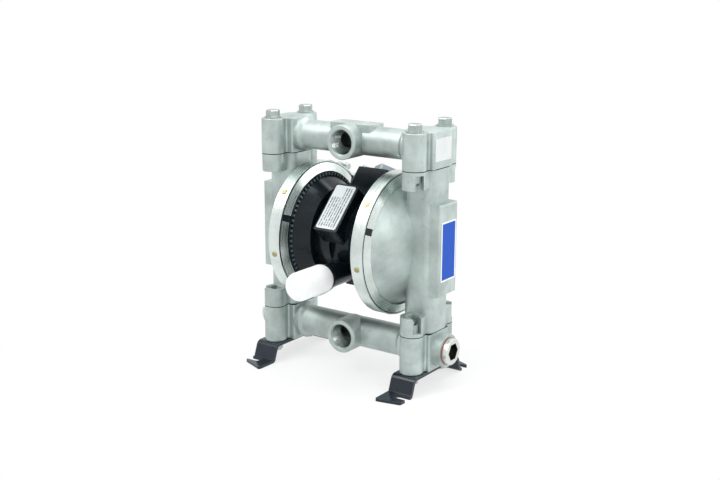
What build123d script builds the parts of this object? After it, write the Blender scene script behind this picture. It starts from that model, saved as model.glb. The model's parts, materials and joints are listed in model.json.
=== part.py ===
from build123d import *
from math import asin, cos, degrees, radians, sin, sqrt, tan
import os

# Air operated double diaphragm pump, 3/4 in ports, metal fluid section, as separate pieces.
#
# X runs along the diaphragm shaft, the ports and the muffler face -Y, and Z is up.  The origin is
# where the axis of the inlet port crosses the run of the inlet manifold.  All sizes are in mm.

os.makedirs("parts", exist_ok=True)

# ---- heights ----
inlet_height = 39.2
inlet_clamp_gap = 14.5
outlet_clamp_gap = 12.0
block_below_inlet = 20.0
seam_above_inlet = 19.3
seam_below_outlet = 18.9
block_above_outlet = 17.9

# ---- clearances ----
press_gap = 0.05
running_gap = 0.05
free_gap = 0.3

# ---- bolt pattern that clamps each manifold end to its fluid cover (M8) ----
bolt_x = 87.3
bolt_y = 27.6
bolt_radius = 4.0
bolt_hole_radius = bolt_radius + 0.4
bolt_head_flats = 13.0
bolt_head_height = 8.3
bolt_head_chamfer = 0.8
bolt_flange_radius = 8.6
bolt_flange_thickness = 1.6
bolt_end_past_nut = 3.0
nut_flats = 13.0
nut_height = 7.8

# ---- manifold ends ----
lug_radius = 12.0
waist_half_width = 10.5
block_inner_x = 69.0
block_end_x = 102.5
block_half_width = 18.5
block_corner_radius = 2.0
seam_edge_break = 0.5
column_bore_radius = 12.2

# ---- manifold tubes and ports ----
outlet_tube_radius = 15.2
inlet_tube_radius = 16.0
run_bore_radius = 10.0
collar_step = 2.6
collar_length = 5.0
collar_taper = 4.0
port_face_y = -28.0
port_boss_radius = 17.65
port_bore_radius = 12.75
port_bore_past_axis = 3.0
port_mouth_chamfer = 0.8
top_pad_length = 53.0
top_pad_width = 24.0
top_pad_drop = 0.6

# ---- end plugs of the inlet manifold ----
end_boss_radius = 17.0
end_boss_face_x = 113.5
plug_seal_thickness = 1.0
plug_seal_radius = 14.1
plug_head_radius = 13.6
plug_head_thickness = 4.8
plug_thread_radius = 12.0
plug_thread_length = 12.0
plug_socket_flats = 16.0
plug_socket_depth = 9.0

# ---- check valves ----
ball_radius = 9.525
ball_lift = 6.0
seat_radius = 14.0
seat_height = 8.0
seat_bore_radius = 7.6
seat_mouth_radius = 11.6
seat_half_angle = 35.0
o_ring_thickness = 2.0
guide_rib_count = 4
guide_rib_width = 2.4
guide_rib_gap = 0.5
stop_bar_width = 3.0
stop_bar_height = 4.0

# ---- fluid covers ----
lower_lug_height = 19.5
upper_lug_height = 18.4
nut_ledge = 3.8
nut_pocket_gap = 0.4
nut_window_width = 9.0
nut_window_angle = 30.0
neck_corner_radius = 9.0
pad_face_x = 110.4
pad_half_width = 16.8
pad_above_shaft = 47.6
pad_below_shaft = 44.9
pad_corner_radius = 1.5
dome_apex_x = 84.0
dome_wall = 4.5

# ---- clamped flanges ----
clamp_x = 51.2
diaphragm_thickness = 3.2
flange_radius = 70.0
flange_rim_half_width = 5.3
flange_slope = 0.4
flange_rim_depth = 8.0
chamber_lip = 5.0

# ---- V clamps ----
band_stand_off = 3.2
band_thickness = 1.2
band_width = 13.6
vee_thickness = 1.8
vee_leg_thickness = 1.9
vee_tip_rise = 0.6
segment_gap = 7.0
first_gap_angle = 20.5
rivet_lag = 5.0
rivet_spread = 26.0
rivet_radius = 3.0
rivet_height = 0.9
trunnion_radius = 3.0
loop_wall = 1.4
loop_offset = 9.5
clamp_bolt_radius = 2.5
clamp_bolt_tail = 13.0
clamp_nut_flats = 8.0
clamp_nut_height = 5.0
clamp_slot_half_width = 3.2

# ---- air covers ----
hub_half_length = 24.0
cover_nose_step = 8.5
cover_shoulder_x = 40.0
cover_shoulder_step = 4.0
cover_wall = 4.5
tooth_count = 72
tooth_length = 2.8
tooth_root = 0.5
tooth_width = 2.2
tooth_height = 1.4
cover_screw_circle = 33.0
cover_screw_count = 6
cover_screw_radius = 2.5
cover_screw_head_radius = 4.2
cover_screw_head_height = 3.0
cover_screw_depth = 5.0

# ---- centre housing ----
hub_radius = 39.5
hub_groove_width = 9.0
hub_groove_height = 22.0
hub_groove_depth = 6.0
hub_groove_x = -2.0
plate_angle = 45.0
plaque_length = 57.0
plaque_width = 28.0
plaque_rise = 50.2
name_plate_length = 52.5
name_plate_width = 24.0
name_plate_thickness = 0.8
inlet_angle = 135.0
inlet_block_half_x = 20.0
inlet_block_half_width = 26.0
inlet_block_rise = 68.0
inlet_block_corner = 4.0
exhaust_drop = 33.0
exhaust_boss_radius = 12.5
exhaust_boss_y = -54.0
exhaust_bore_radius = 8.0
exhaust_thread_length = 12.0
exhaust_relief = 4.0
base_lug_width = 22.0
base_lug_length = 14.0
base_lug_drop = 51.0

# ---- air inlet fitting and ground screw ----
inlet_hex_flats = 26.0
inlet_fitting_height = 14.4
inlet_stub_radius = 9.0
inlet_stub_length = 10.0
air_bore_radius = 5.9
air_bore_depth = 15.0
air_passage_radius = 4.0
ground_screw_x = -13.0
ground_screw_side = 20.0
ground_screw_head_radius = 4.4
ground_screw_head_height = 3.6
ground_screw_radius = 2.0
ground_screw_length = 7.0

# ---- muffler ----
muffler_radius = 14.5
muffler_front_y = -106.0
muffler_neck_radius = 9.5
muffler_neck_length = 2.5
muffler_front_round = 9.0
muffler_back_round = 5.0

# ---- air valve ----
valve_drop = 13.0
valve_block_width = 47.0
valve_block_height = 42.0
valve_block_y = 46.0
valve_pocket_width = 34.0
valve_pocket_height = 26.0
valve_pocket_floor_y = 30.0
valve_plate_thickness = 2.0
valve_plate_margin = 2.0
valve_port_width = 2.5
valve_port_height = 8.0
valve_port_spacing = 5.0
valve_gasket_thickness = 1.0
valve_cover_thickness = 6.0
valve_cover_corner = 4.0
valve_screw_spacing_x = 20.0
valve_screw_spacing_z = 36.0
valve_screw_radius = 2.0
valve_screw_head_radius = 3.6
valve_screw_head_height = 3.0
valve_screw_depth = 5.5
carriage_length = 16.0
carriage_height = 14.0
carriage_depth = 11.4
carriage_cup_length = 10.0
carriage_cup_height = 8.0
carriage_cup_depth = 5.0

# ---- diaphragm rod ----
shaft_radius = 8.0
stroke = 6.0
bushing_radius = 11.0
bushing_length = 14.0
shaft_seal_length = 3.0
convolution_width = 21.0
air_plate_thickness = 5.0
fluid_plate_thickness = 6.0
fluid_plate_round = 3.0
shaft_bolt_radius = 5.0
shaft_bolt_length = 22.0
shaft_bolt_flats = 17.0
shaft_bolt_head = 6.0
convolution_depth = 5.0

# ---- pilot pins ----
pilot_rise = 26.0
pilot_radius = 2.5
pilot_travel = 2.5
pilot_inner_x = 14.0
pilot_collar_radius = 3.8
pilot_collar_length = 3.0
pilot_bushing_radius = 4.5
pilot_bushing_back = 4.0

# ---- foot straps ----
strap_thickness = 3.0
strap_inner_x = 74.0
strap_width = 27.0
strap_bolt_margin = 4.3
strap_bend_run = 6.0
strap_bend_radius = 4.0
strap_slot_offset = 9.0
strap_toe = 17.7
strap_slot_width = 9.0
strap_slot_depth = 14.6
strap_front_rake = 11.0
strap_rear_rake = 22.0
strap_corner_radius = 2.0

# ---- plain plates ----
side_plate_width = 27.0
side_plate_height = 60.0
side_plate_thickness = 0.6
side_plate_corner = 1.2
end_plate_width = 30.0
end_plate_height = 22.5
end_plate_thickness = 0.4

# ---- places that follow from the sizes above ----
band_radius = flange_radius + band_stand_off
flange_root_radius = flange_radius - flange_rim_depth
chamber_radius = flange_root_radius - chamber_lip
plate_radius = chamber_radius - convolution_width
vee_tip_radius = flange_root_radius + vee_tip_rise
cover_nose_radius = hub_radius + cover_nose_step
cover_shoulder_radius = flange_root_radius - cover_shoulder_step
floor_z = -inlet_height
strap_top_z = -block_below_inlet
lower_seam_z = seam_above_inlet
shaft_z = inlet_tube_radius + inlet_clamp_gap + band_radius
outlet_z = shaft_z + band_radius + outlet_clamp_gap + outlet_tube_radius
upper_seam_z = outlet_z - seam_below_outlet
block_top_z = outlet_z + block_above_outlet
strap_bend_top_y = bolt_y + bolt_flange_radius + strap_bolt_margin
strap_bend_foot_y = strap_bend_top_y + strap_bend_run
strap_slot_y = strap_bend_foot_y + strap_slot_offset
strap_reach = strap_slot_y + strap_toe
rear_toe_side = strap_toe - strap_slot_width / 2 - strap_width * tan(radians(strap_rear_rake))
strap_toe_round = min(strap_corner_radius, rear_toe_side)
shaft_axis = Axis((0, 0, shaft_z), (1, 0, 0))
shaft_section = Plane(origin=(0, 0, shaft_z), x_dir=(1, 0, 0), z_dir=(0, -1, 0))
clamp_plane = Plane(origin=(clamp_x, 0, shaft_z), x_dir=(0, -1, 0), z_dir=(-1, 0, 0))
block_centre_x = (block_inner_x + block_end_x) / 2
block_length = block_end_x - block_inner_x
column_x = block_centre_x
closing_angle = first_gap_angle + 120 - rivet_lag
band_inner_radius = band_radius - band_thickness
flange_root_half_width = flange_rim_half_width + flange_slope * (flange_radius - flange_root_radius)
fluid_face_x = clamp_x + diaphragm_thickness / 2
air_face_x = clamp_x - diaphragm_thickness / 2
dome_root_x = clamp_x + flange_root_half_width
# sphere through the dome's apex and its root circle, centred on the shaft axis
dome_depth = dome_apex_x - dome_root_x
dome_centre_x = dome_root_x + (dome_depth**2 - flange_root_radius**2) / (2 * dome_depth)
dome_radius = dome_apex_x - dome_centre_x
seat_cone_height = (seat_mouth_radius - seat_bore_radius) / tan(radians(seat_half_angle))
ball_rest = (ball_radius + free_gap) / sin(radians(seat_half_angle)) - seat_mouth_radius / tan(
    radians(seat_half_angle)
)
ball_top = ball_rest + ball_radius + ball_lift + free_gap
cover_end_wall_x = hub_half_length + cover_wall
exhaust_z = shaft_z - exhaust_drop
valve_z = shaft_z - valve_drop
pilot_z = shaft_z + pilot_rise
shaft_end_x = air_face_x - air_plate_thickness
pilot_tip_x = shaft_end_x - stroke - free_gap
plug_head_x = end_boss_face_x + plug_seal_thickness
both_bolts = [(bolt_x, -bolt_y), (bolt_x, bolt_y)]
all_bolts = [(side * x, y) for side in (-1, 1) for x, y in both_bolts]
on_floor = (Align.CENTER, Align.CENTER, Align.MIN)
on_edge = (Align.MIN, Align.CENTER, Align.MIN)


def radial_plane(x, angle, radius):
    """Plane that faces away from the shaft; its angle counts from -Y up towards +Z."""
    outward = Vector(0, -cos(radians(angle)), sin(radians(angle)))
    return Plane(origin=Vector(x, 0, shaft_z) + outward * radius, x_dir=(1, 0, 0), z_dir=outward)


def across_shaft(x):
    """Plane across the shaft at x, with its normal along +X and its own x along +Y."""
    return Plane(origin=(x, 0, shaft_z), x_dir=(0, 1, 0), z_dir=(1, 0, 0))


def facing_back(x, y, z):
    """Plane whose normal is +Y."""
    return Plane(origin=(x, y, z), x_dir=(-1, 0, 0), z_dir=(0, 1, 0))


def facing_front(x, y, z):
    """Plane whose normal is -Y."""
    return Plane(origin=(x, y, z), x_dir=(1, 0, 0), z_dir=(0, -1, 0))


def facing_end(x, y, z):
    """Plane whose normal is +X."""
    return Plane(origin=(x, y, z), x_dir=(0, 1, 0), z_dir=(1, 0, 0))


# ============================================================ manifolds
def block_outline(z, side):
    """Plan of a manifold end: two bolt lugs, the waist between them and the body over the column."""
    with BuildSketch(Plane.XY.offset(z)) as outline:
        with Locations((side * bolt_x, -bolt_y), (side * bolt_x, bolt_y)):
            Circle(lug_radius)
        with Locations((side * bolt_x, 0)):
            Rectangle(2 * waist_half_width, 2 * bolt_y)
        with Locations((side * block_centre_x, 0)):
            Rectangle(block_length, 2 * block_half_width)
        fillet(outline.vertices(), block_corner_radius)
    return outline.sketch


def tube_half(side, axis_z, tube_radius):
    """Profile of half a manifold tube with its collar, to be revolved about the run."""
    collar_radius = tube_radius + collar_step
    collar_x = block_inner_x - collar_length
    with BuildSketch(Plane.XZ) as profile:
        with BuildLine():
            Polyline(
                (0, axis_z),
                (0, axis_z + tube_radius),
                (side * (collar_x - collar_taper), axis_z + tube_radius),
                (side * collar_x, axis_z + collar_radius),
                (side * (block_inner_x + collar_length), axis_z + collar_radius),
                (side * (block_inner_x + collar_length), axis_z),
                close=True,
            )
        make_face()
    return profile.sketch


with BuildPart() as inlet_manifold:
    for side in (-1, 1):
        extrude(block_outline(strap_top_z, side), amount=lower_seam_z - strap_top_z)
    block_edges = inlet_manifold.faces().filter_by(Axis.Z).sort_by(Axis.Z)[:2].edges()
    fillet(block_edges, block_corner_radius / 2)
    seam_edges = inlet_manifold.faces().filter_by(Axis.Z).sort_by(Axis.Z)[-2:].edges()
    chamfer(seam_edges, seam_edge_break)
    for side in (-1, 1):
        revolve(tube_half(side, 0, inlet_tube_radius), axis=Axis.X)
        with BuildSketch(facing_end(side * block_centre_x, 0, 0)):
            Circle(end_boss_radius)
        extrude(amount=side * (end_boss_face_x - block_centre_x))
    with BuildSketch(facing_front(0, 0, 0)):
        Circle(port_boss_radius)
    extrude(amount=-port_face_y)
    port_ring = inlet_manifold.faces().filter_by(Axis.Y).sort_by(Axis.Y)[0]
    chamfer(port_ring.edges(), port_mouth_chamfer)
    with BuildSketch(facing_end(-end_boss_face_x, 0, 0)):
        Circle(run_bore_radius)
    extrude(amount=2 * end_boss_face_x, mode=Mode.SUBTRACT)
    for side in (-1, 1):
        with BuildSketch(facing_end(side * end_boss_face_x, 0, 0)):
            Circle(plug_thread_radius + press_gap)
        extrude(amount=-side * (plug_thread_length + 1), mode=Mode.SUBTRACT)
        with Locations((side * column_x, 0, lower_seam_z)):
            CounterBoreHole(run_bore_radius, seat_radius + press_gap, seat_height, depth=lower_seam_z)
    with BuildSketch(facing_front(0, port_bore_past_axis, 0)):
        Circle(port_bore_radius)
    extrude(amount=port_bore_past_axis - port_face_y, mode=Mode.SUBTRACT)
    with BuildSketch(facing_back(0, port_face_y, 0)):
        Circle(port_bore_radius + port_mouth_chamfer)
    extrude(amount=port_mouth_chamfer, taper=45, mode=Mode.SUBTRACT)
    for x, y in all_bolts:
        with Locations((x, y, lower_seam_z)):
            Hole(bolt_hole_radius, depth=lower_seam_z - strap_top_z)
inlet_manifold.part.label = "inlet_manifold"
export_step(inlet_manifold.part, "parts/inlet_manifold.step")

with BuildPart() as outlet_manifold:
    for side in (-1, 1):
        extrude(block_outline(upper_seam_z, side), amount=block_top_z - upper_seam_z)
    block_edges = outlet_manifold.faces().filter_by(Axis.Z).sort_by(Axis.Z)[-2:].edges()
    fillet(block_edges, block_corner_radius / 2)
    seam_edges = outlet_manifold.faces().filter_by(Axis.Z).sort_by(Axis.Z)[:2].edges()
    chamfer(seam_edges, seam_edge_break)
    for side in (-1, 1):
        revolve(tube_half(side, outlet_z, outlet_tube_radius), axis=Axis((0, 0, outlet_z), (1, 0, 0)))
    with BuildSketch(facing_front(0, 0, outlet_z)):
        Circle(port_boss_radius)
    extrude(amount=-port_face_y)
    port_ring = outlet_manifold.faces().filter_by(Axis.Y).sort_by(Axis.Y)[0]
    chamfer(port_ring.edges(), port_mouth_chamfer)
    with BuildSketch(Plane.XY.offset(outlet_z)):
        RectangleRounded(top_pad_length, top_pad_width, top_pad_width / 6)
    extrude(amount=block_top_z - top_pad_drop - outlet_z)
    with BuildSketch(facing_end(-column_x, 0, outlet_z)):
        Circle(run_bore_radius)
    extrude(amount=2 * column_x, mode=Mode.SUBTRACT)
    for side in (-1, 1):
        with BuildSketch(Plane.XY.offset(upper_seam_z)):
            with Locations((side * column_x, 0)):
                Circle(column_bore_radius)
        extrude(amount=ball_top, mode=Mode.SUBTRACT)
    with BuildSketch(facing_front(0, port_bore_past_axis, outlet_z)):
        Circle(port_bore_radius)
    extrude(amount=port_bore_past_axis - port_face_y, mode=Mode.SUBTRACT)
    with BuildSketch(facing_back(0, port_face_y, outlet_z)):
        Circle(port_bore_radius + port_mouth_chamfer)
    extrude(amount=port_mouth_chamfer, taper=45, mode=Mode.SUBTRACT)
    for x, y in all_bolts:
        with Locations((x, y, block_top_z)):
            Hole(bolt_hole_radius, depth=block_top_z - upper_seam_z)
outlet_manifold.part.label = "outlet_manifold"
export_step(outlet_manifold.part, "parts/outlet_manifold.step")

# ============================================================ fluid covers
with BuildPart() as right_fluid_cover:
    # clamped flange and dome, turned about the shaft
    with BuildSketch(shaft_section):
        with BuildLine():
            dome = CenterArc(
                (dome_centre_x, 0), dome_radius, 0, degrees(asin(flange_root_radius / dome_radius))
            )
            Polyline(
                dome @ 1,
                (clamp_x + flange_rim_half_width, flange_radius),
                (fluid_face_x, flange_radius),
                (fluid_face_x, 0),
                dome @ 0,
            )
        make_face()
    revolve(axis=shaft_axis)
    # column that carries the check valves, with a bolt lug beside it at each seam
    with BuildSketch(Plane.XY.offset(lower_seam_z)):
        with Locations((block_centre_x, 0)):
            RectangleRounded(block_length, 2 * block_half_width, neck_corner_radius)
    extrude(amount=upper_seam_z - lower_seam_z)
    for z, height in ((lower_seam_z, lower_lug_height), (upper_seam_z, -upper_lug_height)):
        with BuildSketch(Plane.XY.offset(z)) as lugs:
            with Locations(*both_bolts):
                Circle(lug_radius)
            with Locations((bolt_x, 0)):
                Rectangle(2 * waist_half_width, 2 * bolt_y)
            fillet(lugs.vertices(), block_corner_radius)
        extrude(amount=height)
    seams = right_fluid_cover.faces().filter_by(Axis.Z).sort_by(Axis.Z)
    chamfer(seams[0].edges() + seams[-1].edges(), seam_edge_break)
    # flat pad on the outer side
    with BuildSketch(Plane.XY.offset(shaft_z - pad_below_shaft)):
        with Locations((block_centre_x, 0)):
            Rectangle(pad_face_x - block_centre_x, 2 * pad_half_width, align=(Align.MIN, Align.CENTER))
    extrude(amount=pad_below_shaft + pad_above_shaft)
    pad_edges = right_fluid_cover.faces().sort_by(Axis.X)[-1].edges()
    fillet(pad_edges, pad_corner_radius)
    # pumping chamber, opening into the column
    with BuildSketch(shaft_section):
        with BuildLine():
            hollow_radius = dome_radius - dome_wall
            hollow = CenterArc(
                (dome_centre_x, 0), hollow_radius, 0, degrees(asin(chamber_radius / hollow_radius))
            )
            Polyline(hollow @ 1, (fluid_face_x, chamber_radius), (fluid_face_x, 0), hollow @ 0)
        make_face()
    revolve(axis=shaft_axis, mode=Mode.SUBTRACT)
    with Locations((column_x, 0, upper_seam_z)):
        Hole(column_bore_radius, depth=upper_seam_z - lower_seam_z)
        CounterBoreHole(column_bore_radius, seat_radius + press_gap, seat_height, depth=seat_height + 1)
    # guide ribs round the inlet ball and the bar that stops its lift
    rib_depth = column_bore_radius - ball_radius - guide_rib_gap
    with Locations((column_x, 0, lower_seam_z + free_gap)):
        with PolarLocations(ball_radius + guide_rib_gap, guide_rib_count, start_angle=45):
            Box(rib_depth + 1, guide_rib_width, ball_top, align=on_edge)
    with Locations((column_x, 0, lower_seam_z + ball_top)):
        Box(2 * column_bore_radius + 1, stop_bar_width, stop_bar_height, align=on_floor)
    # bolt holes, and the open pockets that hold the nuts
    for x, y in both_bolts:
        with Locations((x, y, upper_seam_z)):
            Hole(bolt_hole_radius, depth=nut_ledge)
        with Locations((x, y, lower_seam_z + nut_ledge)):
            Hole(bolt_hole_radius, depth=nut_ledge)
        window_turn = nut_window_angle if y > 0 else -nut_window_angle
        for z, height in (
            (lower_seam_z + nut_ledge, lower_lug_height - nut_ledge),
            (upper_seam_z - nut_ledge, nut_ledge - upper_lug_height),
        ):
            with BuildSketch(Plane.XY.offset(z)):
                with Locations((x, y)):
                    RegularPolygon((nut_flats + nut_pocket_gap) / 2, 6, major_radius=False)
                    Rectangle(
                        lug_radius + 2,
                        nut_window_width,
                        rotation=window_turn,
                        align=(Align.MIN, Align.CENTER),
                    )
            extrude(amount=height, mode=Mode.SUBTRACT)
right_fluid_cover.part.label = "right_fluid_cover"
export_step(right_fluid_cover.part, "parts/right_fluid_cover.step")

# ============================================================ V clamps
leg_inner_top = flange_rim_half_width + flange_slope * (flange_radius - band_inner_radius + vee_thickness)
leg_inner_tip = flange_rim_half_width + flange_slope * (flange_radius - vee_tip_radius)
with BuildPart() as right_clamp_segments:
    with BuildSketch(shaft_section):
        with BuildLine():
            Polyline(
                (clamp_x - band_width / 2, band_inner_radius - press_gap),
                (clamp_x + band_width / 2, band_inner_radius - press_gap),
                (clamp_x + leg_inner_tip + vee_leg_thickness, vee_tip_radius),
                (clamp_x + leg_inner_tip + free_gap / 2, vee_tip_radius),
                (clamp_x + leg_inner_top + free_gap / 2, band_inner_radius - vee_thickness),
                (clamp_x - leg_inner_top - free_gap / 2, band_inner_radius - vee_thickness),
                (clamp_x - leg_inner_tip - free_gap / 2, vee_tip_radius),
                (clamp_x - leg_inner_tip - vee_leg_thickness, vee_tip_radius),
                close=True,
            )
        make_face()
    revolve(axis=shaft_axis)
    with BuildSketch(clamp_plane.offset(-band_width)):
        with PolarLocations(flange_radius, 3, start_angle=first_gap_angle):
            Rectangle(flange_radius / 2, segment_gap)
    extrude(amount=2 * band_width, mode=Mode.SUBTRACT)
right_clamp_segments.part.label = "right_clamp_segments"
export_step(right_clamp_segments.part, "parts/right_clamp_segments.step")

loop_radius = trunnion_radius + press_gap + loop_wall
closing_plane = radial_plane(clamp_x, closing_angle, band_inner_radius + loop_radius)
loop_start = closing_plane.origin - Vector(band_width / 2, 0, 0)
loop_plane = Plane(loop_start, x_dir=closing_plane.y_dir, z_dir=(1, 0, 0))
with BuildPart() as right_clamp_band:
    with BuildSketch(clamp_plane.offset(-band_width / 2)):
        Circle(band_radius)
        Circle(band_inner_radius, mode=Mode.SUBTRACT)
        with PolarLocations(band_radius, 1, start_angle=closing_angle):
            Rectangle(band_radius / 4, 2 * loop_offset, mode=Mode.SUBTRACT)
    extrude(amount=band_width)
    with BuildSketch(loop_plane):
        with Locations((-loop_offset, 0), (loop_offset, 0)):
            Circle(loop_radius)
    extrude(amount=band_width)
    with BuildSketch(loop_plane):
        with Locations((-loop_offset, 0), (loop_offset, 0)):
            Circle(trunnion_radius + press_gap)
    extrude(amount=band_width, mode=Mode.SUBTRACT)
    with Locations(closing_plane):
        with Locations((0, 0, -clamp_bolt_radius - free_gap)):
            Box(
                2 * clamp_slot_half_width,
                2 * (loop_offset + loop_radius),
                2 * loop_radius,
                align=on_floor,
                mode=Mode.SUBTRACT,
            )
right_clamp_band.part.label = "right_clamp_band"
export_step(right_clamp_band.part, "parts/right_clamp_band.step")

bolt_run_plane = Plane(closing_plane.origin - closing_plane.y_dir * loop_offset, z_dir=closing_plane.y_dir)
with BuildPart() as right_clamp_bolt:
    # T bolt in one loop
    with BuildSketch(loop_plane):
        with Locations((-loop_offset, 0)):
            Circle(trunnion_radius)
    extrude(amount=band_width)
    with BuildSketch(bolt_run_plane):
        Circle(clamp_bolt_radius)
    extrude(amount=2 * loop_offset + clamp_bolt_tail)
    # cross pin in the other loop, drilled for the bolt
    with BuildSketch(loop_plane):
        with Locations((loop_offset, 0)):
            Circle(trunnion_radius)
    extrude(amount=band_width)
right_clamp_bolt.part.label = "right_clamp_bolt"
export_step(right_clamp_bolt.part, "parts/right_clamp_bolt.step")

with BuildPart() as clamp_nuts:
    with BuildSketch(bolt_run_plane.offset(2 * loop_offset + loop_radius)):
        RegularPolygon(clamp_nut_flats / 2, 6, major_radius=False)
        Circle(clamp_bolt_radius + press_gap, mode=Mode.SUBTRACT)
    extrude(amount=clamp_nut_height)
    mirror(about=Plane.YZ)
clamp_nuts.part.label = "clamp_nuts"
export_step(clamp_nuts.part, "parts/clamp_nuts.step")

with BuildPart() as clamp_rivets:
    for gap_angle in (first_gap_angle, first_gap_angle + 120, first_gap_angle + 240):
        for angle in (gap_angle - rivet_lag - rivet_spread, gap_angle - rivet_lag + rivet_spread):
            with BuildSketch(radial_plane(clamp_x, angle, band_radius)):
                Circle(rivet_radius)
            extrude(amount=rivet_height, taper=30)
    mirror(about=Plane.YZ)
clamp_rivets.part.label = "clamp_rivets"
export_step(clamp_rivets.part, "parts/clamp_rivets.step")

# ============================================================ air covers
cover_screw_places = [
    (cover_screw_circle * cos(radians(turn)), cover_screw_circle * sin(radians(turn)))
    for turn in range(0, 360, 360 // cover_screw_count)
]
flange_back_x = clamp_x - flange_root_half_width
with BuildPart() as right_air_cover:
    with BuildSketch(shaft_section):
        with BuildLine():
            Polyline(
                (hub_half_length, bushing_radius),
                (hub_half_length, cover_nose_radius),
                (cover_shoulder_x, cover_shoulder_radius),
                (cover_shoulder_x, flange_root_radius - free_gap),
                (flange_back_x, flange_root_radius - free_gap),
                (clamp_x - flange_rim_half_width, flange_radius),
                (air_face_x, flange_radius),
                (air_face_x, chamber_radius),
                (cover_shoulder_x + cover_wall, chamber_radius),
                (cover_end_wall_x, cover_nose_radius - cover_wall),
                (cover_end_wall_x, bushing_radius),
                close=True,
            )
        make_face()
    revolve(axis=shaft_axis)
    # ring of short ribs in front of the shoulder
    with Locations(across_shaft(cover_shoulder_x - tooth_height)):
        with PolarLocations(cover_shoulder_radius + tooth_root, tooth_count):
            Box(tooth_length, tooth_width, tooth_height + tooth_root, align=on_edge)
    with BuildSketch(across_shaft(hub_half_length)):
        with Locations(*cover_screw_places):
            Circle(cover_screw_radius + press_gap)
        with Locations((0, pilot_rise)):
            Circle(pilot_bushing_radius + press_gap)
    extrude(amount=cover_wall, mode=Mode.SUBTRACT)
right_air_cover.part.label = "right_air_cover"
export_step(right_air_cover.part, "parts/right_air_cover.step")

with BuildPart() as right_cover_screws:
    for y, rise in cover_screw_places:
        with BuildSketch(facing_end(cover_end_wall_x, y, shaft_z + rise)):
            Circle(cover_screw_head_radius)
        extrude(amount=cover_screw_head_height)
        with BuildSketch(facing_end(hub_half_length - cover_screw_depth, y, shaft_z + rise)):
            Circle(cover_screw_radius)
        extrude(amount=cover_screw_depth + cover_wall)
        with BuildSketch(facing_end(cover_end_wall_x + cover_screw_head_height, y, shaft_z + rise)):
            RegularPolygon(cover_screw_radius * 0.9, 6)
        extrude(amount=-cover_screw_head_height * 0.6, mode=Mode.SUBTRACT)
right_cover_screws.part.label = "right_cover_screws"
export_step(right_cover_screws.part, "parts/right_cover_screws.step")

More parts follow.
